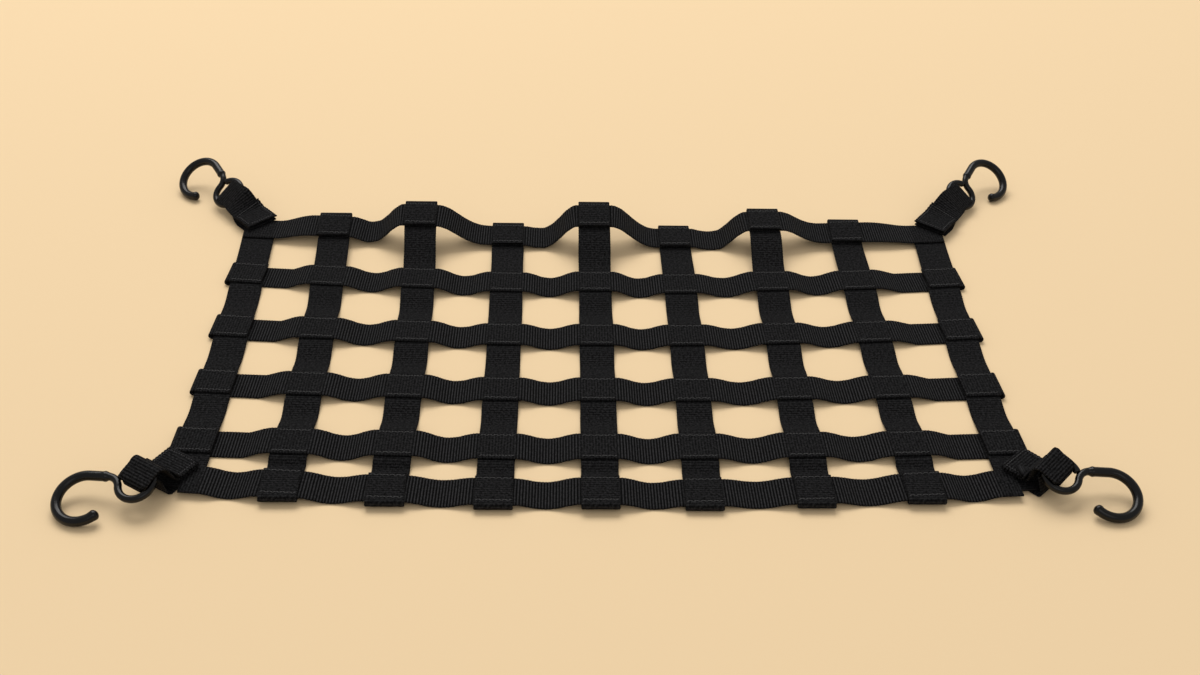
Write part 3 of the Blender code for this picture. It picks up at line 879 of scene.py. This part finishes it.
def coating_material():
    """Black dipped coating: soft gloss, slightly uneven."""
    material, tree, shader = new_material("black_coating")
    shader.inputs["Base Color"].default_value = COATING_COLOUR
    shader.inputs["Specular IOR Level"].default_value = COATING_SPECULAR
    uneven = noise(tree, node(tree, "ShaderNodeTexCoord").outputs["Object"], *COATING_NOISE)
    gloss = node(tree, "ShaderNodeMapRange")
    gloss.inputs["To Min"].default_value = COATING_ROUGHNESS[0]
    gloss.inputs["To Max"].default_value = COATING_ROUGHNESS[1]
    tree.links.new(uneven, gloss.inputs["Value"])
    tree.links.new(gloss.outputs[0], shader.inputs["Roughness"])
    add_bump(tree, shader, uneven, *COATING_BUMP)
    return material


def thread_material():
    """Black sewing thread, a little shinier than the webbing."""
    material, tree, shader = new_material("sewing_thread")
    shader.inputs["Roughness"].default_value = THREAD_ROUGHNESS
    uneven = noise(tree, node(tree, "ShaderNodeTexCoord").outputs["Object"], *THREAD_NOISE)
    add_tones(tree, shader, uneven, THREAD_TONES)
    return material


def floor_material():
    material, _, shader = new_material("pale_surface")
    shader.inputs["Roughness"].default_value = FLOOR_ROUGHNESS
    shader.inputs["Base Color"].default_value = FLOOR_COLOUR
    shader.inputs["Specular IOR Level"].default_value = FLOOR_SPECULAR
    return material


# ---------------------------------------------------------------- camera and light

def turned_to(right, up, ahead, place):
    """The world matrix of a camera or light that looks ahead from place."""
    axes = np.eye(4)
    axes[:3, 0], axes[:3, 1], axes[:3, 2], axes[:3, 3] = right, up, -ahead, place
    return Matrix(axes.tolist())


def add_camera():
    rise, yaw, roll = (math.radians(a) for a in (CAMERA_ELEVATION, CAMERA_YAW, CAMERA_ROLL))
    out = math.cos(rise)
    ahead = np.array([math.sin(yaw) * out, math.cos(yaw) * out, -math.sin(rise)])
    level = np.array([math.cos(yaw), -math.sin(yaw), 0.0])
    up = np.cross(level, ahead)
    right = level * math.cos(roll) + up * math.sin(roll)
    up = np.cross(right, ahead)
    place = (CAMERA_TARGET - ahead * CAMERA_DISTANCE + OFFSET) * MM
    data = bpy.data.cameras.new("camera")
    data.lens = CAMERA_LENS
    data.sensor_width = CAMERA_SENSOR
    camera = bpy.data.objects.new("camera", data)
    camera.matrix_world = turned_to(right, up, ahead, place)
    bpy.context.scene.collection.objects.link(camera)
    bpy.context.scene.camera = camera


def add_area_light(name, place, size, energy):
    """A soft light aimed at the net's middle."""
    data = bpy.data.lights.new(name, "AREA")
    data.shape = "RECTANGLE"
    data.size, data.size_y = size
    data.energy = energy
    data.color = LIGHT_COLOUR
    light = bpy.data.objects.new(name, data)
    ahead = -unit(place)
    right = unit(np.cross(ahead, (0.0, 0.0, 1.0)))
    light.matrix_world = turned_to(right, np.cross(right, ahead), ahead, place)
    bpy.context.scene.collection.objects.link(light)


def add_stage():
    """A wide plain floor under the net, one soft light above and behind it, and even fill."""
    mesh = bpy.data.meshes.new("floor")
    half, low = FLOOR_HALF, FLOOR_HEIGHT
    corners = [(-half, -half, low), (half, -half, low), (half, half, low), (-half, half, low)]
    mesh.from_pydata(corners, [], [(0, 1, 2, 3)])
    mesh.materials.append(floor_material())
    floor = bpy.data.objects.new("floor", mesh)
    bpy.context.scene.collection.objects.link(floor)
    world = bpy.data.worlds.new("soft_sky")
    world.use_nodes = True
    background = world.node_tree.nodes["Background"]
    background.inputs["Color"].default_value = SKY_COLOUR
    background.inputs["Strength"].default_value = SKY_STRENGTH
    bpy.context.scene.world = world
    bpy.context.scene.view_settings.view_transform = "Standard"
    for settings in AREA_LIGHTS:
        add_area_light(*settings)


# ---------------------------------------------------------------- the net

def design_centre():
    """Middle of the third long strap's box, as the straps' tables place it."""
    points, across = long_path(2)
    half = unit(across) * WEB_WIDTH / 2
    ends = np.vstack([points - half, points + half])
    return (ends.min(axis=0) + ends.max(axis=0)) / 2


def net_offset():
    """Shift from the straps' tables to the frame, so that each strip lies on its own solid."""
    low, high = (np.array(corner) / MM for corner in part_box("long_strap_3"))
    shift = (low + high) / 2 - design_centre()
    shift[2] = low[2]
    return shift


def crossing_ribs(centres, loud):
    """Share of the rib height: pressed nearly flat where the strip is sewn, at these lengths
    along it and beyond the outermost, and loud between."""
    def ribs(length):
        near = np.min(np.abs(length[:, None] - np.asarray(centres)[None, :]), axis=1)
        near[(length < centres[0]) | (length > centres[-1])] = 0.0
        return SEWN_RIBS + (loud - SEWN_RIBS) * np.clip((near - RIBS_FROM) / RIBS_WITHIN, 0, 1)
    return ribs


def lengths_at(points, axis, values):
    """Length along the strip at the points nearest to these coordinates, away from its ends."""
    at = along_arc(points)
    start, stop = np.argmin(points[:, axis]), np.argmax(points[:, axis])
    return np.interp(values, points[start:stop + 1, axis], at[start:stop + 1])


def main():
    for row in range(LAST_LONG + 1):
        points, across = long_path(row)
        centres = lengths_at(points, 0, [crossing(row, c)[0] for c in range(LAST_SHORT + 1)])
        add_strip(f"webbing_long_{row + 1}", points, across, WEB_WIDTH,
                  crossing_ribs(centres, LONG_RIBS), f"long_strap_{row + 1}", seed=row)
    for column in range(LAST_SHORT + 1):
        points, across = short_path(column)
        centres = lengths_at(points, 1, [crossing(r, column)[1] for r in range(LAST_LONG + 1)])
        add_strip(f"webbing_short_{column + 1}", points, across, WEB_WIDTH,
                  crossing_ribs(centres, SHORT_RIBS), f"short_strap_{column + 1}",
                  seed=SHORT_SEED + column)
    for values in CORNERS:
        add_corner(dict(zip(CORNER_COLUMNS, values)))
    crossing_stitches()
    add_stage()
    add_camera()


OFFSET = net_offset()
MATERIALS = {
    "webbing": webbing_material(),
    "coating": coating_material(),
    "thread": thread_material(),
}
main()
